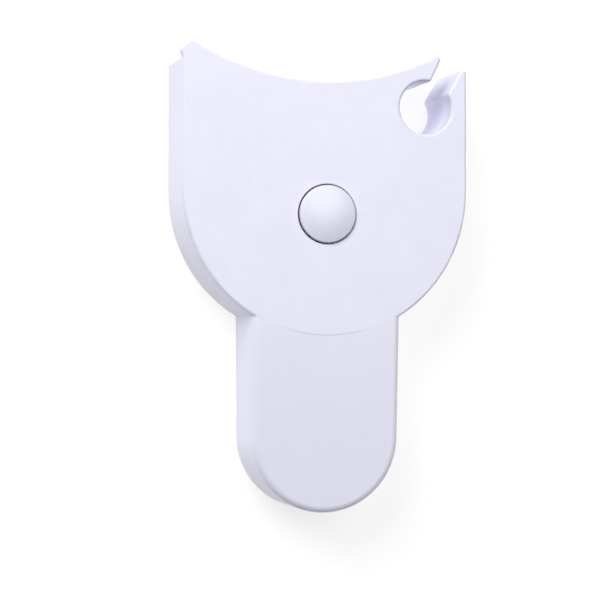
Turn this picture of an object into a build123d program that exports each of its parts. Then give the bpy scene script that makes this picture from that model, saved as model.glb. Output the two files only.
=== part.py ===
from build123d import *
import math
import os

os.makedirs("parts", exist_ok=True)

# ---------------------------------------------------------------------------
# Retractable body-circumference tape measure, millimetres.
# It lies on its back: +Z is the front face's outward normal, +Y points to the
# concave limb rest, +X to the keyhole side.  The origin is on the axis of the
# button and reel, in the plane of the back face.
# ---------------------------------------------------------------------------

# outer form
thick = 19.0            # back face to front face
half_w = 36.0           # half width of the body
round_cy = 5.85         # centre height of the round lower half, radius half_w
rest_cx, rest_cy, rest_r = -1.26, 96.25, 63.56   # concave limb rest
fin_top = 37.4          # top of the left side wall
lip_top = 36.5          # top of the right lip
hw_neck, hw_low = 18.66, 18.45                   # handle half widths
neck_y = round_cy - math.sqrt(half_w**2 - hw_neck**2)
low_y = -54.8           # centre of the handle's round end, radius hw_low
bend_y0, bend_y1 = -25.2, -30.4                  # soft bend of the front face
tilt = 2.1              # degrees, slope of the handle's front face
front_t = 2.0           # front plate thickness
wall = 2.0              # side walls
cover_t = 2.0           # back cover
rebate = 1.0            # rim left outside the back cover
fit_gap = 0.1

# keyhole
key_x, key_y, key_r = 25.32, 26.87, 6.65
slot_l_top, slot_l_low = (33.32, 47.0), (25.20, 30.35)   # slot's left wall
slot_r_top, slot_r_low = (40.08, 46.0), (30.25, 29.0)    # slot's right wall

# button
button_bore = 7.36
button_r = 7.08
button_travel = 1.6
button_top, dome_r = 20.9, 21.8
button_low, button_flange_r = 15.9, 8.4

# reel, drum, tape
axle_r = 3.0
drum_r, drum_in = 13.2, 12.0
flange_r = 21.0
reel_z0, reel_z1 = 3.6, 13.0
web = 0.8
dish_z0 = 10.8
axle_top = 11.8
tape_t, tape_w, tape_len = 0.4, 7.5, 1500.0
coil_r = math.sqrt(drum_r**2 + tape_len * tape_t / math.pi)
tape_z0 = (reel_z0 + reel_z1 - tape_w) / 2
mouth_y = 24.9

# peg pocket and peg
peg_x, peg_y, peg_r = -28.0, 32.0, 6.2
peg_z0, peg_z1 = 0.8, 16.6
pocket_r = 6.5

# guide roller
roll_x, roll_y, roll_r = -25.5, 21.0, 2.2

roll_pin_r = 0.75

# brake lever
piv_y, piv_z = -14.0, 15.0
lever_w, lever_t = 6.0, 1.2
lever_y0, lever_y1 = -18.6, -6.9
lever_pin_r = 0.55
stake_y = -24.4

# cover screws
screw_r = 1.0
boss_r, boss_z0 = 2.8, 3.7
screw_xy = [(28.5, 2.0), (-29.0, 8.0), (6.0, 27.0), (0.0, -60.0)]


def near(items, x, y, tol=0.6):
    return [v for v in items if abs(v.X - x) < tol and abs(v.Y - y) < tol]


# ---------------------------------------------------------------------------
# Plan outlines
# ---------------------------------------------------------------------------
def rest_y(x):
    return rest_cy - math.sqrt(rest_r**2 - (x - rest_cx)**2)


with BuildSketch() as plan:
    with BuildLine():
        Line((-half_w, rest_y(-half_w)), (-half_w, round_cy))
        ThreePointArc((-half_w, round_cy), (0, round_cy - half_w), (half_w, round_cy))
        Line((half_w, round_cy), (half_w, rest_y(half_w)))
        ThreePointArc((half_w, rest_y(half_w)), (rest_cx, rest_cy - rest_r), (-half_w, rest_y(-half_w)))
    make_face()
    # keyhole and the slot that opens it to the top
    with Locations((key_x, key_y)):
        Circle(key_r, mode=Mode.SUBTRACT)
    with BuildLine():
        Polyline(slot_l_low, slot_l_top, slot_r_top, slot_r_low, close=True)
    make_face(mode=Mode.SUBTRACT)
    # right lip stops lower than the limb rest
    with Locations((35.1, lip_top + 8)):
        Rectangle(7.0, 16, mode=Mode.SUBTRACT)
    fillet(near(plan.vertices(), 26.3, 33.3, 0.9), 0.5)
    fillet(near(plan.vertices(), 31.0, 30.3, 0.9), 1.0)
    fillet([v for v in plan.vertices() if 28 < v.X < 31.4 and 39 < v.Y < 43], 1.0)
    fillet([v for v in plan.vertices() if v.X > 35.5 and v.Y > 35], 0.8)
    fillet([v for v in plan.vertices() if 33 < v.X < 35 and v.Y > 35], 0.45)

with BuildSketch() as handle_plan:
    with BuildLine():
        Line((-hw_neck, -12), (-hw_neck, neck_y))
        Line((-hw_neck, neck_y), (-hw_low, low_y))
        ThreePointArc((-hw_low, low_y), (0, low_y - hw_low), (hw_low, low_y))
        Line((hw_low, low_y), (hw_neck, neck_y))
        Line((hw_neck, neck_y), (hw_neck, -12))
        Line((hw_neck, -12), (-hw_neck, -12))
    make_face()

# side walls: plan less the pocket that the end peg rests in
with BuildSketch() as rim_plan:
    add(plan.sketch)
    with Locations((peg_x, peg_y)):
        Circle(pocket_r, mode=Mode.SUBTRACT)
    with Locations((peg_x, peg_y + 10)):
        Rectangle(2 * pocket_r, 20, mode=Mode.SUBTRACT)
    with Locations((-half_w, fin_top + 5)):
        Rectangle(6, 10, mode=Mode.SUBTRACT)

# front plate: plan with the left horn's rounded tip and its small ear, which
# stands out over the side wall
tip_r, tip_a = 1.35, math.radians(-120.2)        # tip circle, tangent to the limb rest
tip_c = (rest_cx + (rest_r + tip_r) * math.cos(tip_a), rest_cy + (rest_r + tip_r) * math.sin(tip_a))
tip_end = (rest_cx + rest_r * math.cos(tip_a), rest_cy + rest_r * math.sin(tip_a))
ear_c, ear_r, ear_foot = (-35.08, 39.08), 1.5, (-half_w, 37.25)
foot_d = math.hypot(ear_c[0] - ear_foot[0], ear_c[1] - ear_foot[1])
foot_a = math.atan2(ear_c[1] - ear_foot[1], ear_c[0] - ear_foot[0]) + math.asin(ear_r / foot_d)
foot_l = math.sqrt(foot_d**2 - ear_r**2)
ear_t = (ear_foot[0] + foot_l * math.cos(foot_a), ear_foot[1] + foot_l * math.sin(foot_a))
ear_d = math.hypot(tip_c[0] - ear_c[0], tip_c[1] - ear_c[1])
ear_n = math.atan2(tip_c[1] - ear_c[1], tip_c[0] - ear_c[0]) + math.acos((ear_r - tip_r) / ear_d)
ear_out = (ear_c[0] + ear_r * math.cos(ear_n), ear_c[1] + ear_r * math.sin(ear_n))
tip_in = (tip_c[0] + tip_r * math.cos(ear_n), tip_c[1] + tip_r * math.sin(ear_n))
tip_top_a = (ear_n + tip_a + math.pi) / 2
ear_mid_a = (ear_n + foot_a + math.pi / 2) / 2
with BuildSketch() as face_plan:
    add(plan.sketch)
    with Locations((tip_end[0] - 10, tip_end[1] + 6)):
        Rectangle(20, 20, mode=Mode.SUBTRACT)
    with BuildLine():
        Line(ear_foot, ear_t)
        ThreePointArc(ear_t, (ear_c[0] + ear_r * math.cos(ear_mid_a), ear_c[1] + ear_r * math.sin(ear_mid_a)), ear_out)
        Line(ear_out, tip_in)
        ThreePointArc(tip_in, (tip_c[0] + tip_r * math.cos(tip_top_a), tip_c[1] + tip_r * math.sin(tip_top_a)), tip_end)
        Polyline(tip_end, (tip_end[0], tip_end[1] - 6), (-half_w, tip_end[1] - 6), ear_foot)
    make_face()

# hollow inside, cover rebate and cover plate: the same outline d mm further in
def inset(d):
    hn, hl = hw_neck - d, hw_low - d
    with BuildSketch() as inner:
        with Locations((0, round_cy)):
            Circle(half_w - d)
        with Locations((0, (round_cy + 46) / 2)):
            Rectangle(2 * (half_w - d), 46 - round_cy)
        # the right lip and the left wall stop lower than the limb rest
        with BuildLine():
            Line((-hn, round_cy), (-hn, neck_y))
            Line((-hn, neck_y), (-hl, low_y))
            ThreePointArc((-hl, low_y), (0, low_y - hl), (hl, low_y))
            Line((hl, low_y), (hn, neck_y))
            Line((hn, neck_y), (hn, round_cy))
            Line((hn, round_cy), (-hn, round_cy))
        make_face()
        with Locations((rest_cx, rest_cy)):
            Circle(rest_r + d, mode=Mode.SUBTRACT)
        # solid round the keyhole and its slot
        with Locations((key_x, key_y)):
            Circle(key_r + d, mode=Mode.SUBTRACT)
        with Locations((30.2 - d / 2, key_y + 8.5)):
            Rectangle(18 + d, 23, mode=Mode.SUBTRACT)
        # wall round the peg pocket, solid fin left of it
        with Locations((peg_x, peg_y)):
            Circle(pocket_r + d, mode=Mode.SUBTRACT)
        with Locations((peg_x - 4, peg_y + 10)):
            Rectangle(2 * (pocket_r + d) + 8, 20, mode=Mode.SUBTRACT)
        with Locations((-half_w + 2, peg_y)):
            Rectangle(4, 8, mode=Mode.SUBTRACT)
    return inner.sketch


hollow_plan = inset(wall)
rebate_plan = inset(rebate)
cover_plan = inset(rebate + fit_gap)


def side_profile(drop):
    # region under the front face in the YZ plane, drop mm below the outside
    a = math.radians(tilt)
    y_end = -80.0
    z0 = thick - drop
    run = bend_y0 - bend_y1
    z1 = z0 - run * math.tan(a / 2)
    z2 = z1 - (bend_y1 - y_end) * math.tan(a)
    return [(50, z0), (bend_y0, z0), (bend_y1, z1), (y_end, z2)]


def side_block(drop, lift=0.0):
    # solid that keeps what lies under the front face
    (ya, za), (yb, zb), (yc, zc), (yd, zd) = side_profile(drop)
    with BuildPart() as block:
        with BuildSketch(Plane.YZ.offset(-45)):
            with BuildLine():
                Line((ya, za), (yb, zb))
                TangentArc((yb, zb), (yc, zc), tangent=(-1, 0))
                Polyline((yc, zc), (yd, zd), (yd, -1 - lift), (ya, -1 - lift), (ya, za))
            make_face()
        extrude(amount=90)
    return block.part


under_face = side_block(0.0)
under_hollow = side_block(front_t, lift=1.0)

# ---------------------------------------------------------------------------
# Front housing: one deep shell, with the keyhole tube, the peg pocket, the
# screw bosses, the lever ears and the roller boss
# ---------------------------------------------------------------------------
with BuildPart() as grip:
    with BuildSketch():
        add(handle_plan.sketch)
    extrude(amount=thick)
    add(under_face, mode=Mode.INTERSECT)
    slope = [f for f in grip.faces() if f.normal_at(f.center()).Z > 0.95]
    count = {}
    for f in slope:
        for e in f.edges():
            count.setdefault(tuple(round(c, 3) for c in e.center()), []).append(e)
    fillet([v[0] for v in count.values() if len(v) == 1 and v[0].center().Y < -12.5], 1.5)

with BuildPart() as hollow:
    with BuildSketch(Plane.XY.offset(-1.0)):
        add(hollow_plan)
    extrude(amount=thick - front_t + 1.0)
    add(under_hollow, mode=Mode.INTERSECT)
hollow_block = hollow.part

with BuildPart() as front_housing:
    with BuildSketch():
        add(rim_plan.sketch)
    extrude(amount=thick - front_t)
    with BuildSketch(Plane.XY.offset(thick - front_t)):
        add(face_plan.sketch)
    extrude(amount=front_t)
    fillet(front_housing.faces().sort_by(Axis.Z)[-1].edges(), 0.7)
    add(grip.part)

    # hollow inside and the rebate that the back cover sits in
    add(hollow_block, mode=Mode.SUBTRACT)
    with BuildSketch(Plane.XY.offset(-0.5)):
        add(rebate_plan)
    extrude(amount=cover_t + 0.5, mode=Mode.SUBTRACT)
    # screw bosses
    with BuildSketch(Plane.XY.offset(boss_z0)):
        with Locations(*screw_xy):
            Circle(boss_r)
    extrude(amount=15.8 - boss_z0)
    with BuildSketch(Plane.XY.offset(15.0)):
        with Locations(*screw_xy[:3]):
            Circle(boss_r)
    extrude(amount=2.5)
    with BuildSketch(Plane.XY.offset(boss_z0)):
        with Locations(*screw_xy):
            Circle(screw_r)
    extrude(amount=7.0, mode=Mode.SUBTRACT)
    # boss that holds the roller pin's front end
    with BuildSketch(Plane.XY.offset(13.4)):
        with Locations((roll_x, roll_y)):
            Circle(2.0)
    extrude(amount=4.0)
    with BuildSketch(Plane.XY.offset(13.0)):
        with Locations((roll_x, roll_y)):
            Circle(roll_pin_r)
    extrude(amount=3.0, mode=Mode.SUBTRACT)
    # ears for the brake lever's pin, and the stake of its leaf spring
    with BuildSketch(Plane.XY.offset(13.8)):
        with Locations((4.4, piv_y), (-4.4, piv_y)):
            Rectangle(1.6, 3.6)
    extrude(amount=3.6)
    with BuildSketch(Plane.YZ.offset(-6.0)):
        with Locations((piv_y, piv_z)):
            Circle(lever_pin_r)
    extrude(amount=12.0, mode=Mode.SUBTRACT)
    with BuildSketch(Plane.XY.offset(16.3)):
        with Locations((0, stake_y)):
            Circle(0.7)
    extrude(amount=1.0)
    # ribs across the handle
    with BuildSketch(Plane.XY.offset(9.0)):
        with Locations((0, -37.0), (0, -49.0)):
            Rectangle(33.5, 1.2)
    extrude(amount=7.9)
    # opening for the button, with a small lead-in
    with BuildSketch(Plane.XY.offset(thick - front_t - 0.5)):
        Circle(button_bore)
    extrude(amount=front_t + 1.0, mode=Mode.SUBTRACT)
    chamfer(front_housing.edges().filter_by(GeomType.CIRCLE).filter_by(
        lambda e: abs(e.radius - button_bore) < 0.01 and e.center().Z > thick - 0.1), 0.25)
    # tape mouth in the pocket's floor
    with BuildSketch(Plane.XY.offset(tape_z0 - 0.6)):
        with Locations((peg_x, 24.4)):
            Rectangle(1.2, 4.6)
    extrude(amount=tape_w + 1.2, mode=Mode.SUBTRACT)

front_housing.part.label = "front_housing"
export_step(front_housing.part, "parts/front_housing.step")

# ---------------------------------------------------------------------------
# Back cover: a plate let into the back, with screw holes and inner seats
# ---------------------------------------------------------------------------
with BuildPart() as rear_cover:
    with BuildSketch():
        add(cover_plan)
    extrude(amount=cover_t)
    chamfer(rear_cover.faces().sort_by(Axis.Z)[0].edges(), 0.25)
    with BuildSketch(Plane.XY.offset(cover_t)):
        Circle(5.0)
        with Locations((roll_x, roll_y)):
            Circle(2.0)
    extrude(amount=1.0)
    with BuildSketch(Plane.XY.offset(cover_t)):
        with Locations(*screw_xy):
            Circle(3.1)
    extrude(amount=boss_z0 - 0.1 - cover_t)
    # stiffening ribs on the inside of the handle part
    with BuildSketch(Plane.XY.offset(cover_t)):
        with Locations((0, -43.0)):
            Rectangle(1.2, 26)
    extrude(amount=2.0)
    with Locations(*[(x, y, 0) for x, y in screw_xy]):
        Cylinder(2.2, 1.9, align=(Align.CENTER, Align.CENTER, Align.MIN), mode=Mode.SUBTRACT)
        Cylinder(1.25, 5.0, align=(Align.CENTER, Align.CENTER, Align.MIN), mode=Mode.SUBTRACT)
    with BuildSketch(Plane.XY.offset(1.0)):
        Circle(axle_r)
    extrude(amount=3.0, mode=Mode.SUBTRACT)
    with BuildSketch(Plane.XY.offset(1.2)):
        with Locations((roll_x, roll_y)):
            Circle(roll_pin_r)
    extrude(amount=3.0, mode=Mode.SUBTRACT)
rear_cover.part.label = "rear_cover"
export_step(rear_cover.part, "parts/rear_cover.step")

# cover screws: pan heads in the cover's recesses, shanks in the bosses
with BuildPart() as cover_screws:
    with BuildSketch(Plane.XY.offset(0.4)):
        with Locations(*screw_xy):
            Circle(1.95)
    extrude(amount=1.5)
    chamfer(cover_screws.faces().filter_by(lambda f: abs(f.center().Z - 0.4) < 0.01).edges(), 0.3)
    with BuildSketch(Plane.XY.offset(1.9)):
        with Locations(*screw_xy):
            Circle(screw_r)
    extrude(amount=8.0)
    with BuildSketch(Plane.XY.offset(0.4)):
        with Locations(*screw_xy):
            Rectangle(2.2, 0.5)
            Rectangle(0.5, 2.2)
    extrude(amount=0.8, mode=Mode.SUBTRACT)
cover_screws.part.label = "cover_screws"
export_step(cover_screws.part, "parts/cover_screws.step")

# ---------------------------------------------------------------------------
# Reel on its axle
# ---------------------------------------------------------------------------
with BuildPart() as reel_axle:
    with BuildSketch(Plane.XY.offset(1.0)):
        Circle(axle_r)
    extrude(amount=axle_top - 1.0)
    with BuildSketch(Plane.XY.offset(6.0)):
        Circle(screw_r)
    extrude(amount=8.0, mode=Mode.SUBTRACT)
    # slot that the mainspring's inner end hooks into
    with BuildSketch(Plane.XY.offset(4.4)):
        with Locations((2.4, 0)):
            Rectangle(1.4, 0.5)
    extrude(amount=axle_top, mode=Mode.SUBTRACT)
    chamfer(reel_axle.faces().sort_by(Axis.Z)[0].edges(), 0.3)
reel_axle.part.label = "reel_axle"
export_step(reel_axle.part, "parts/reel_axle.step")

with BuildPart() as thrust_washer:
    with BuildSketch(Plane.XY.offset(3.0)):
        Circle(6.5)
        Circle(axle_r + 0.05, mode=Mode.SUBTRACT)
    extrude(amount=0.5)
thrust_washer.part.label = "thrust_washer"
export_step(thrust_washer.part, "parts/thrust_washer.step")

with BuildPart() as tape_reel:
    with BuildSketch(Plane.XY.offset(reel_z0)):
        Circle(flange_r)
        Circle(axle_r + 0.06, mode=Mode.SUBTRACT)
    extrude(amount=web)
    with BuildSketch(Plane.XY.offset(reel_z0 + web)):
        Circle(drum_r)
        Circle(drum_in, mode=Mode.SUBTRACT)
    extrude(amount=reel_z1 - reel_z0 - 2 * web)
    # slit in the drum that the tape's inner end is locked in
    with BuildSketch(Plane.XY.offset(tape_z0 - 0.1)):
        with Locations((drum_r - 0.6, 0)):
            Rectangle(1.6, 0.6)
    extrude(amount=tape_w + 0.2, mode=Mode.SUBTRACT)
tape_reel.part.label = "tape_reel"
export_step(tape_reel.part, "parts/tape_reel.step")

with BuildPart() as reel_flange:
    with BuildSketch(Plane.XY.offset(reel_z1 - web)):
        Circle(flange_r)
        Circle(drum_in - 0.9, mode=Mode.SUBTRACT)
    extrude(amount=web)
    with BuildSketch(Plane.XY.offset(dish_z0)):
        Circle(drum_in - 0.1)
        Circle(drum_in - 0.9, mode=Mode.SUBTRACT)
    extrude(amount=reel_z1 - dish_z0)
    with BuildSketch(Plane.XY.offset(dish_z0)):
        Circle(drum_in - 0.5)
        Circle(axle_r + 0.06, mode=Mode.SUBTRACT)
    extrude(amount=web)
reel_flange.part.label = "reel_flange"
export_step(reel_flange.part, "parts/reel_flange.step")

with BuildPart() as tape_coil:
    with BuildSketch(Plane.XY.offset(tape_z0)):
        Circle(coil_r)
        Circle(drum_r + 0.05, mode=Mode.SUBTRACT)
    extrude(amount=tape_w)
tape_coil.part.label = "tape_coil"
export_step(tape_coil.part, "parts/tape_coil.step")


# mainspring: packed turns against the drum, then an open run to the axle
def spring_r(turn):
    if turn < 6.0:
        return 11.6 - 0.38 * turn
    u = (turn - 6.0) / 1.75
    return 9.32 - (9.32 - 3.35) * (u * u * (3 - 2 * u))


spring_pts_out, spring_pts_in = [], []
for i in range(0, 187):
    t = i / 24.0
    a = 2 * math.pi * t
    spring_pts_out.append(((spring_r(t) + 0.09) * math.cos(a), (spring_r(t) + 0.09) * math.sin(a)))
    spring_pts_in.append(((spring_r(t) - 0.09) * math.cos(a), (spring_r(t) - 0.09) * math.sin(a)))
with BuildPart() as mainspring:
    with BuildSketch(Plane.XY.offset(4.8)):
        with BuildLine():
            Spline(*spring_pts_out)
            Line(spring_pts_out[-1], spring_pts_in[-1])
            Spline(*spring_pts_in)
            Line(spring_pts_in[0], spring_pts_out[0])
        make_face()
    extrude(amount=5.6)
mainspring.part.label = "mainspring"
export_step(mainspring.part, "parts/mainspring.step")

with BuildPart() as axle_washer:
    with BuildSketch(Plane.XY.offset(axle_top)):
        Circle(4.6)
        Circle(screw_r + 0.05, mode=Mode.SUBTRACT)
    extrude(amount=0.4)
axle_washer.part.label = "axle_washer"
export_step(axle_washer.part, "parts/axle_washer.step")

with BuildPart() as axle_screw:
    with BuildSketch(Plane.XY.offset(6.6)):
        Circle(screw_r)
    extrude(amount=axle_top + 0.4 - 6.6)
    with BuildSketch(Plane.XY.offset(axle_top + 0.4)):
        Circle(1.95)
    extrude(amount=1.3)
    chamfer(axle_screw.faces().sort_by(Axis.Z)[-1].edges(), 0.3)
    with BuildSketch(Plane.XY.offset(axle_top + 1.7)):
        Rectangle(2.2, 0.5)
        Rectangle(0.5, 2.2)
    extrude(amount=-0.8, mode=Mode.SUBTRACT)
axle_screw.part.label = "axle_screw"
export_step(axle_screw.part, "parts/axle_screw.step")

# ---------------------------------------------------------------------------
# Release button, its spring, and the brake lever it presses
# ---------------------------------------------------------------------------
with BuildPart() as release_button:
    with BuildSketch(Plane.XY.offset(button_low)):
        Circle(button_r)
    extrude(amount=6.0)
    with Locations((0, 0, button_top - dome_r)):
        Sphere(dome_r, mode=Mode.INTERSECT)
    fillet(release_button.edges().filter_by(GeomType.CIRCLE).filter_by(
        lambda e: abs(e.radius - button_r) < 0.01).sort_by(Axis.Z)[-1], 0.4)
    with BuildSketch(Plane.XY.offset(button_low)):
        Circle(button_flange_r)
    extrude(amount=0.9)
    with BuildSketch(Plane.XY.offset(button_low)):
        Circle(button_r - 1.3)
    extrude(amount=18.4 - button_low, mode=Mode.SUBTRACT)
release_button.part.label = "release_button"
export_step(release_button.part, "parts/release_button.step")

with BuildPart() as button_spring:
    with BuildLine():
        coil_path = Helix(pitch=1.28, height=5.4, radius=3.5, center=(0, 0, axle_top + 0.4 + 0.3))
    with BuildSketch(Plane(origin=coil_path @ 0, z_dir=coil_path % 0)):
        Circle(0.24)
    sweep(is_frenet=True)
button_spring.part.label = "button_spring"
export_step(button_spring.part, "parts/button_spring.step")

with BuildPart() as brake_lever:
    with BuildSketch(Plane.XY.offset(piv_z - 0.6)):
        with Locations((0, (lever_y0 + lever_y1) / 2)):
            RectangleRounded(lever_w, lever_y1 - lever_y0, 0.8)
    extrude(amount=lever_t)
    with BuildSketch(Plane.YZ.offset(-3.4)):
        with Locations((piv_y, piv_z)):
            Circle(1.35)
    extrude(amount=6.8)
    with BuildSketch(Plane.YZ.offset(-2.6)):
        with Locations((piv_y + 6.4, piv_z + 0.35)):
            Circle(0.5)
    extrude(amount=5.2)
    with BuildSketch(Plane.YZ.offset(-4.0)):
        with Locations((piv_y, piv_z)):
            Circle(lever_pin_r + 0.05)
    extrude(amount=8.0, mode=Mode.SUBTRACT)
brake_lever.part.label = "brake_lever"
export_step(brake_lever.part, "parts/brake_lever.step")

with BuildPart() as brake_pad:
    with BuildSketch(Plane.XY.offset(reel_z1 + 0.05)):
        with Locations((0, -17.3)):
            RectangleRounded(5.2, 2.2, 0.4)
    extrude(amount=piv_z - 0.6 - reel_z1 - 0.05)
brake_pad.part.label = "brake_pad"
export_step(brake_pad.part, "parts/brake_pad.step")

with BuildPart() as lever_pin:
    with BuildSketch(Plane.YZ.offset(-5.4)):
        with Locations((piv_y, piv_z)):
            Circle(lever_pin_r)
    extrude(amount=10.8)
lever_pin.part.label = "lever_pin"
export_step(lever_pin.part, "parts/lever_pin.step")

with BuildPart() as brake_spring:
    with BuildSketch(Plane.YZ.offset(-2.0)):
        with BuildLine():
            Polyline((-26.2, 16.98), (-22.4, 16.98), (-18.0, 15.87), (-17.2, 16.25), (-17.1, 16.05),
                     (-18.0, 15.65), (-22.4, 16.76), (-26.2, 16.76), close=True)
        make_face()
    extrude(amount=4.0)
    with BuildSketch(Plane.XY.offset(16)):
        with Locations((0, stake_y)):
            Circle(0.75)
    extrude(amount=2, mode=Mode.SUBTRACT)
brake_spring.part.label = "brake_spring"
export_step(brake_spring.part, "parts/brake_spring.step")

# ---------------------------------------------------------------------------
# Guide roller, tape and end peg
# ---------------------------------------------------------------------------
with BuildPart() as guide_roller:
    with BuildSketch(Plane.XY.offset(3.3)):
        with Locations((roll_x, roll_y)):
            Circle(roll_r)
            Circle(roll_pin_r + 0.05, mode=Mode.SUBTRACT)
    extrude(amount=9.9)
guide_roller.part.label = "guide_roller"
export_step(guide_roller.part, "parts/guide_roller.step")

with BuildPart() as roller_pin:
    with BuildSketch(Plane.XY.offset(1.2)):
        with Locations((roll_x, roll_y)):
            Circle(roll_pin_r)
    extrude(amount=14.6)
roller_pin.part.label = "roller_pin"
export_step(roller_pin.part, "parts/roller_pin.step")

# tape from the coil, round the roller and up into the mouth
lead_r1 = coil_r + 0.5
lead_r2 = roll_r + 0.1 + tape_t / 2
roll_d = math.hypot(roll_x, roll_y)
lead_a = math.atan2(roll_y, roll_x) + math.acos((lead_r1 - lead_r2) / roll_d)
t1 = (lead_r1 * math.cos(lead_a), lead_r1 * math.sin(lead_a))
t2 = (roll_x + lead_r2 * math.cos(lead_a), roll_y + lead_r2 * math.sin(lead_a))
mid_a2 = (lead_a + math.pi) / 2
t3 = (roll_x - lead_r2, roll_y)
with BuildPart() as tape_lead:
    with BuildSketch(Plane.XY.offset(tape_z0)):
        with BuildLine() as lead_path:
            Line(t1, t2)
            ThreePointArc(t2, (roll_x + lead_r2 * math.cos(mid_a2), roll_y + lead_r2 * math.sin(mid_a2)), t3)
            Line(t3, (roll_x - lead_r2, mouth_y))
        trace(line_width=tape_t)
    extrude(amount=tape_w)
tape_lead.part.label = "tape_lead"
export_step(tape_lead.part, "parts/tape_lead.step")

with BuildPart() as tape_end:
    with BuildSketch(Plane.XY.offset(tape_z0)):
        with Locations((peg_x, (mouth_y + 0.05 + peg_y - 1.0) / 2)):
            Rectangle(tape_t, peg_y - 1.0 - mouth_y - 0.05)
        with Locations((peg_x, peg_y)):
            Circle(1.2)
            Circle(0.8, mode=Mode.SUBTRACT)
    extrude(amount=tape_w)
tape_end.part.label = "tape_end"
export_step(tape_end.part, "parts/tape_end.step")

with BuildPart() as peg_pin:
    with BuildSketch(Plane.XY.offset(3.2)):
        with Locations((peg_x, peg_y)):
            Circle(0.78)
    extrude(amount=9.6)
peg_pin.part.label = "peg_pin"
export_step(peg_pin.part, "parts/peg_pin.step")

with BuildPart() as end_peg:
    with BuildSketch(Plane.XY.offset(peg_z0)):
        with Locations((peg_x, peg_y)):
            Circle(peg_r)
    extrude(amount=peg_z1 - peg_z0)
    fillet(end_peg.edges().filter_by(GeomType.CIRCLE), 0.7)
    # slot and eye for the looped tape end, open to the back
    with BuildSketch(Plane.XY.offset(peg_z0 - 0.1)):
        with Locations((peg_x, peg_y - 3.5)):
            Rectangle(0.8, 7.0)
        with Locations((peg_x, peg_y)):
            Circle(1.4)
    extrude(amount=12.9 - peg_z0, mode=Mode.SUBTRACT)
end_peg.part.label = "end_peg"
export_step(end_peg.part, "parts/end_peg.step")
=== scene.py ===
import bpy
import bmesh
import math
from mathutils import Matrix, Vector


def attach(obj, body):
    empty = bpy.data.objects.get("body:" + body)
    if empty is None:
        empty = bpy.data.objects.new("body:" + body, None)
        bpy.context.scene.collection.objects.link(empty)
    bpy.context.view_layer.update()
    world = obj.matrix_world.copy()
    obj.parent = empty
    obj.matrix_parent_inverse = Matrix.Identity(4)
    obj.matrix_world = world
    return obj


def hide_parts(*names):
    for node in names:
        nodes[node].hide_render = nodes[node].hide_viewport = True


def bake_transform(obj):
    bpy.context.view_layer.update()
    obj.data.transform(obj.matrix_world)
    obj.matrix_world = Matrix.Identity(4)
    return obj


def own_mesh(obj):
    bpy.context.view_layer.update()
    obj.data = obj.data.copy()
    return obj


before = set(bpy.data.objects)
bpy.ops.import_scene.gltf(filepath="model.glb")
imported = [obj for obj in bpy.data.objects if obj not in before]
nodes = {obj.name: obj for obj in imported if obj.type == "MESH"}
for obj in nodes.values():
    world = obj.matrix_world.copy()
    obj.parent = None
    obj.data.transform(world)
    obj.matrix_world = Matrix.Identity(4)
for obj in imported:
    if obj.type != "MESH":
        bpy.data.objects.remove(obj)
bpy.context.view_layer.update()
MM = 0.001


# ---------------------------------------------------------------------------
# Materials
# ---------------------------------------------------------------------------
def new_mat(name):
    m = bpy.data.materials.new(name)
    m.use_nodes = True
    nt = m.node_tree
    nt.nodes.clear()
    out = nt.nodes.new("ShaderNodeOutputMaterial")
    b = nt.nodes.new("ShaderNodeBsdfPrincipled")
    nt.links.new(b.outputs["BSDF"], out.inputs["Surface"])
    return m, nt, b


def coords(nt, kind="Object"):
    return nt.nodes.new("ShaderNodeTexCoord").outputs[kind]


def noise(nt, vec, scale, detail=2.0, rough=0.5, dist=0.0):
    n = nt.nodes.new("ShaderNodeTexNoise")
    n.inputs["Scale"].default_value = scale
    n.inputs["Detail"].default_value = detail
    n.inputs["Roughness"].default_value = rough
    n.inputs["Distortion"].default_value = dist
    nt.links.new(vec, n.inputs["Vector"])
    return n.outputs["Fac"]


def ranged(nt, fac, lo, hi, a=0.3, b=0.7):
    n = nt.nodes.new("ShaderNodeMapRange")
    n.inputs["From Min"].default_value = a
    n.inputs["From Max"].default_value = b
    n.inputs["To Min"].default_value = lo
    n.inputs["To Max"].default_value = hi
    nt.links.new(fac, n.inputs["Value"])
    return n.outputs["Result"]


def math_node(nt, op, a, b=None, c=None, clamp=False):
    n = nt.nodes.new("ShaderNodeMath")
    n.operation = op
    n.use_clamp = clamp
    for i, v in enumerate((a, b, c)):
        if v is None:
            continue
        if isinstance(v, (int, float)):
            n.inputs[i].default_value = v
        else:
            nt.links.new(v, n.inputs[i])
    return n.outputs[0]


def mix_color(nt, fac, a, b, blend="MIX"):
    n = nt.nodes.new("ShaderNodeMix")
    n.data_type = "RGBA"
    n.blend_type = blend
    for sock, v in ((n.inputs[0], fac), (n.inputs[6], a), (n.inputs[7], b)):
        if isinstance(v, (int, float)):
            sock.default_value = v
        elif isinstance(v, (tuple, list)):
            sock.default_value = (*v, 1.0)
        else:
            nt.links.new(v, sock)
    return n.outputs[2]


def bump(nt, b, height, dist, strength=1.0, edge=0.0):
    n = nt.nodes.new("ShaderNodeBump")
    n.inputs["Strength"].default_value = strength
    n.inputs["Distance"].default_value = dist
    nt.links.new(height, n.inputs["Height"])
    if edge:
        e = nt.nodes.new("ShaderNodeBevel")
        e.samples = 4
        e.inputs["Radius"].default_value = edge
        nt.links.new(e.outputs["Normal"], n.inputs["Normal"])
    nt.links.new(n.outputs["Normal"], b.inputs["Normal"])


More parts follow.
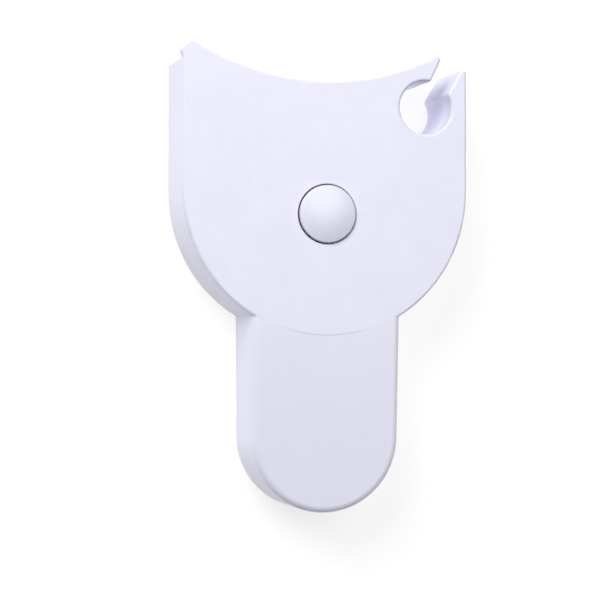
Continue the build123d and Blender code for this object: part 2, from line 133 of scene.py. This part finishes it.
def moulded(name, base, rough=(0.30, 0.40), grain=0.000006, edge=0.0, specular=0.5, tint=0.012,
            sub=0.0, grain_scale=2600.0, gap_shade=None):
    # injection-moulded plastic: flow clouding, fine satin grain, faint rubbed spots; optionally a painted shade ring in
    # the button gap
    m, nt, b = new_mat(name)
    v = coords(nt)
    cloud = noise(nt, v, 38.0, 3.0, 0.55, 0.4)
    fine = noise(nt, v, grain_scale, 3.0, 0.6)
    flow = noise(nt, v, 140.0, 2.0, 0.5, 1.2)
    lo = tuple(max(0.0, c - tint * k) for c, k in zip(base, (1.25, 1.15, 0.8)))
    hi = tuple(min(1.0, c + tint * 0.5) for c in base)
    col = mix_color(nt, ranged(nt, cloud, 0.0, 1.0), lo, hi)
    if gap_shade:
        # painted shade in the gap round the button: a dark ring between two radii, below one height, stands in for the
        # shade deep in the gap
        r_in, r_out, z_top = gap_shade
        p = nt.nodes.new("ShaderNodeSeparateXYZ")
        nt.links.new(v, p.inputs[0])
        rr = math_node(nt, "SQRT", math_node(nt, "MULTIPLY_ADD", p.outputs[0], p.outputs[0],
                                             math_node(nt, "MULTIPLY", p.outputs[1], p.outputs[1])))
        ring = math_node(nt, "MULTIPLY", math_node(nt, "GREATER_THAN", rr, r_in), math_node(nt, "LESS_THAN", rr, r_out))
        ring = math_node(nt, "MULTIPLY", ring, math_node(nt, "LESS_THAN", p.outputs[2], z_top))
        # painted shade: the dark colour laid on the gap walls in place of real shade
        painted_gap_shade = mix_color(nt, ranged(nt, cloud, 0.0, 1.0), (0.20, 0.15, 0.14), (0.27, 0.22, 0.21))
        col = mix_color(nt, ring, col, painted_gap_shade)
    nt.links.new(col, b.inputs["Base Color"])
    rub = ranged(nt, flow, rough[0], rough[1], 0.32, 0.68)
    nt.links.new(rub, b.inputs["Roughness"])
    b.inputs["Specular IOR Level"].default_value = specular
    if sub:
        b.inputs["Subsurface Weight"].default_value = sub
        b.inputs["Subsurface Radius"].default_value = (1.0, 0.9, 0.85)
        b.inputs["Subsurface Scale"].default_value = 0.0012
    h = math_node(nt, "MULTIPLY_ADD", flow, 1.6, fine)
    bump(nt, b, h, grain, 1.0, edge)
    return m


def metal(name, base, rough=(0.22, 0.38), stretch=(1, 1, 30), grain=0.000004):
    m, nt, b = new_mat(name)
    v = coords(nt)
    mp = nt.nodes.new("ShaderNodeMapping")
    mp.inputs["Scale"].default_value = stretch
    nt.links.new(v, mp.inputs["Vector"])
    streak = noise(nt, mp.outputs["Vector"], 300.0, 4.0, 0.6)
    spot = noise(nt, v, 500.0, 2.0)
    dark = tuple(c * 0.72 for c in base)
    nt.links.new(mix_color(nt, ranged(nt, spot, 0.0, 1.0), dark, base), b.inputs["Base Color"])
    nt.links.new(ranged(nt, streak, rough[0], rough[1]), b.inputs["Roughness"])
    b.inputs["Metallic"].default_value = 1.0
    bump(nt, b, streak, grain)
    return m


# shell and button: the gap argument paints shade on the button bore wall and on the button's side below the face
shell_mat = moulded("shell_plastic", (0.82, 0.82, 0.965), rough=(0.34, 0.44), specular=0.5,
                     gap_shade=(0.0, 0.00742, 0.0188))
button_mat = moulded("button_plastic", (0.80, 0.805, 0.93), rough=(0.26, 0.34), grain=0.000004, tint=0.01,
                      gap_shade=(0.00695, 0.0080, 0.0187))
peg_mat = moulded("peg_plastic", (0.80, 0.80, 0.92), rough=(0.36, 0.46))
nylon_mat = moulded("acetal", (0.80, 0.79, 0.74), rough=(0.40, 0.52), grain=0.000009, tint=0.03)
pad_mat = moulded("brake_rubber", (0.035, 0.035, 0.038), rough=(0.7, 0.85), grain=0.00002, tint=0.01)
steel_mat = metal("zinc_steel", (0.66, 0.67, 0.70))
spring_mat = metal("spring_steel", (0.36, 0.37, 0.40), rough=(0.25, 0.42))


def tape_material(name, uv=True):
    # woven glass-fibre tape with a satin coating; graduations run along U, in millimetres
    m, nt, b = new_mat(name)
    v = coords(nt)
    warp = nt.nodes.new("ShaderNodeTexWave")
    warp.wave_type = "BANDS"
    warp.bands_direction = "Z"
    warp.inputs["Scale"].default_value = 900.0
    warp.inputs["Distortion"].default_value = 0.4
    nt.links.new(v, warp.inputs["Vector"])
    cloud = noise(nt, v, 90.0, 3.0)
    ground = mix_color(nt, ranged(nt, cloud, 0.0, 1.0), (0.86, 0.86, 0.82), (0.93, 0.93, 0.90))
    if uv:
        u = nt.nodes.new("ShaderNodeSeparateXYZ")
        nt.links.new(coords(nt, "UV"), u.inputs[0])
        along, across = u.outputs[0], u.outputs[1]

        def marks(step, width, low, high):
            # bars of one step, as a 0/1 mask between low and high across the tape
            half = math_node(nt, "ADD", along, step / 2.0)
            saw = math_node(nt, "PINGPONG", math_node(nt, "SUBTRACT", half, step / 2.0), step / 2.0)
            bar = math_node(nt, "LESS_THAN", saw, width / 2.0)
            a = math_node(nt, "GREATER_THAN", across, low)
            c = math_node(nt, "LESS_THAN", across, high)
            return math_node(nt, "MULTIPLY", bar, math_node(nt, "MULTIPLY", a, c))

        mm1 = marks(1.0, 0.22, 0.76, 0.995)
        mm5 = marks(5.0, 0.26, 0.66, 0.995)
        cm1 = marks(10.0, 0.34, 0.50, 0.995)
        edge_low = marks(10.0, 0.34, 0.005, 0.14)
        mask = math_node(nt, "MAXIMUM", math_node(nt, "MAXIMUM", mm1, mm5), math_node(nt, "MAXIMUM", cm1, edge_low))
        ground = mix_color(nt, mask, ground, (0.03, 0.03, 0.035))
    nt.links.new(ground, b.inputs["Base Color"])
    nt.links.new(ranged(nt, cloud, 0.36, 0.5), b.inputs["Roughness"])
    b.inputs["Sheen Weight"].default_value = 0.05
    bump(nt, b, warp.outputs["Fac"], 0.00001)
    return m


tape_mat = tape_material("tape_weave", uv=False)
tape_print_mat = tape_material("tape_printed", uv=True)

cover_mat = moulded("cover_plastic", (0.82, 0.82, 0.965), rough=(0.36, 0.46))

look = {
    "front_housing": shell_mat, "rear_cover": cover_mat, "release_button": button_mat, "end_peg": peg_mat,
    "cover_screws": steel_mat, "reel_axle": steel_mat, "axle_screw": steel_mat, "axle_washer": steel_mat,
    "lever_pin": steel_mat, "roller_pin": steel_mat, "peg_pin": steel_mat,
    "thrust_washer": nylon_mat, "brake_lever": nylon_mat, "tape_reel": nylon_mat, "reel_flange": nylon_mat,
    "guide_roller": nylon_mat, "brake_pad": pad_mat, "brake_spring": spring_mat, "button_spring": spring_mat,
    "mainspring": spring_mat, "tape_lead": tape_mat, "tape_coil": tape_mat, "tape_end": tape_mat,
}
for name, obj in nodes.items():
    m = look[name]
    if not obj.material_slots:
        obj.data.materials.append(m)
    for s in obj.material_slots:
        s.material = m

# ---------------------------------------------------------------------------
# The tape between the mouth and the peg, with a loop round the pin; its print along U spans the full stroke near the
# mouth
# ---------------------------------------------------------------------------
STROKE = 1450.0
TX, TT, TZ0, TZ1 = -28.0, 0.4, 4.55, 12.05
Y_MOUTH, Y_BLEND, Y_LOOP, PEG_Y = 24.95, 26.2, 31.05, 32.0


def tape_strip():
    stations = []
    for i in range(121):
        w = i / 120.0
        t = 0.5 - math.sin(math.asin(1.0 - 2.0 * w) / 3.0)
        stations.append((Y_MOUTH + t * (Y_BLEND - Y_MOUTH), w))
    stations += [(Y_BLEND + (Y_LOOP - Y_BLEND) * k / 4.0, 1.0) for k in range(1, 5)]
    bm = bmesh.new()
    uv = bm.loops.layers.uv.new("along")
    rings = []
    for y, w in stations:
        u = (1.0 - w) * STROKE + (Y_LOOP - y)
        corners = [bm.verts.new((x * MM, y * MM, z * MM)) for x, z in
                   ((TX - TT / 2, TZ0), (TX - TT / 2, TZ1), (TX + TT / 2, TZ1), (TX + TT / 2, TZ0))]
        rings.append((corners, u))
    for (a, ua), (c, uc) in zip(rings, rings[1:]):
        for k in range(4):
            j = (k + 1) % 4
            f = bm.faces.new((a[k], a[j], c[j], c[k]))
            wide = k in (0, 2)
            across = {0: 0.0, 1: 1.0, 2: 1.0, 3: 0.0}
            for loop, (idx, uu) in zip(f.loops, ((k, ua), (j, ua), (j, uc), (k, uc))):
                loop[uv].uv = (uu, across[idx] if wide else 0.3)
    bm.faces.new(list(reversed(rings[0][0])))
    bm.faces.new(rings[-1][0])
    # the loop round the pin
    n = 32
    loop_rings = []
    for k in range(n):
        a = 2 * math.pi * k / n
        loop_rings.append([bm.verts.new(((TX + r * math.cos(a)) * MM, (PEG_Y + r * math.sin(a)) * MM, z * MM))
                           for r, z in ((0.82, TZ0), (0.82, TZ1), (1.2, TZ1), (1.2, TZ0))])
    for k in range(n):
        a, c = loop_rings[k], loop_rings[(k + 1) % n]
        for q in range(4):
            f = bm.faces.new((a[q], c[q], c[(q + 1) % 4], a[(q + 1) % 4]))
            for loop in f.loops:
                loop[uv].uv = (-3.0, 0.3)
    bmesh.ops.recalc_face_normals(bm, faces=bm.faces)
    me = bpy.data.meshes.new("tape_strip")
    bm.to_mesh(me)
    bm.free()
    o = bpy.data.objects.new("tape_strip", me)
    o.data.materials.append(tape_print_mat)
    bpy.context.scene.collection.objects.link(o)
    return o


strip = tape_strip()
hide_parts("tape_end")
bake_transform(strip)

# ---------------------------------------------------------------------------
# Copies of the two springs: the button spring's coil is attached to the housing body, the brake spring's leaf is baked
# in place
# ---------------------------------------------------------------------------
def soft_copy(name, piece):
    src = nodes[name]
    me = src.data.copy()
    me.transform(src.matrix_world)
    o = bpy.data.objects.new(piece, me)
    bpy.context.scene.collection.objects.link(o)
    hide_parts(name)
    return o


coil = soft_copy("button_spring", "button_spring_coil")
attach(coil, "housing")
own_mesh(coil)

leaf = soft_copy("brake_spring", "brake_spring_leaf")
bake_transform(leaf)

# ---------------------------------------------------------------------------
# Floor, lights, camera
# ---------------------------------------------------------------------------
def plane(name, size, loc):
    me = bpy.data.meshes.new(name)
    h = size / 2
    me.from_pydata([(-h, -h, 0), (h, -h, 0), (h, h, 0), (-h, h, 0)], [], [(0, 1, 2, 3)])
    o = bpy.data.objects.new(name, me)
    o.location = loc
    bpy.context.scene.collection.objects.link(o)
    return o


floor = plane("floor", 12.0, (0, 0, -0.00005))
fm, nt, b = new_mat("floor_white")
floor_col = mix_color(nt, noise(nt, coords(nt), 3.0), (0.34, 0.34, 0.34), (0.37, 0.37, 0.37))
nt.links.new(floor_col, b.inputs["Base Color"])
b.inputs["Roughness"].default_value = 0.9
b.inputs["Specular IOR Level"].default_value = 0.0
# a lit table: its own glow takes the shadow away
b.inputs["Emission Color"].default_value = (1.0, 1.0, 1.0, 1.0)
b.inputs["Emission Strength"].default_value = 0.74
floor.data.materials.append(fm)

world = bpy.data.worlds.new("studio")
bpy.context.scene.world = world
world.use_nodes = True
bg = world.node_tree.nodes["Background"]
bg.inputs[0].default_value = (0.96, 0.97, 1.0, 1.0)
bg.inputs[1].default_value = 0.05


def area(name, loc, target, size, power, color=(1, 1, 1), size_y=None):
    L = bpy.data.lights.new(name, "AREA")
    L.energy = power
    L.color = color
    L.shape = "RECTANGLE"
    L.size = size
    L.size_y = size_y or size
    o = bpy.data.objects.new(name, L)
    o.location = loc
    d = Vector(target) - Vector(loc)
    o.rotation_euler = d.to_track_quat("-Z", "Y").to_euler()
    bpy.context.scene.collection.objects.link(o)
    return o


area("key", (-0.52, 0.62, 0.70), (0, 0, 0), 0.6, 9.3, (1.0, 0.99, 0.98))
area("top_box", (0.24, 0.28, 1.0), (0, 0.02, 0), 0.7, 5.55, size_y=0.8)

cam = bpy.data.cameras.new("camera")
cam_o = bpy.data.objects.new("camera", cam)
bpy.context.scene.collection.objects.link(cam_o)
cy, sy = math.cos(0.25334), math.sin(0.25334)
cx, sx = math.cos(-0.01693), math.sin(-0.01693)
cz, sz = math.cos(-0.00187), math.sin(-0.00187)
Ry = Matrix(((cy, 0, sy), (0, 1, 0), (-sy, 0, cy)))
Rx = Matrix(((1, 0, 0), (0, cx, -sx), (0, sx, cx)))
Rz = Matrix(((cz, -sz, 0), (sz, cz, 0), (0, 0, 1)))
R = Rz @ Rx @ Ry
tvec = Vector((1.9478, 20.7603, -508.014)) * MM
world_from_cam = R.transposed().to_4x4()
world_from_cam.translation = -(R.transposed() @ tvec)
cam_o.matrix_world = world_from_cam
cam.sensor_width = 36.0
cam.sensor_fit = "HORIZONTAL"
cam.lens = 2000.0 * 36.0 / 600.0
cam.clip_start = 0.01
cam.clip_end = 50
bpy.context.scene.camera = cam_o

bpy.context.scene.view_settings.view_transform = "Standard"
bpy.context.scene.view_settings.look = "None"
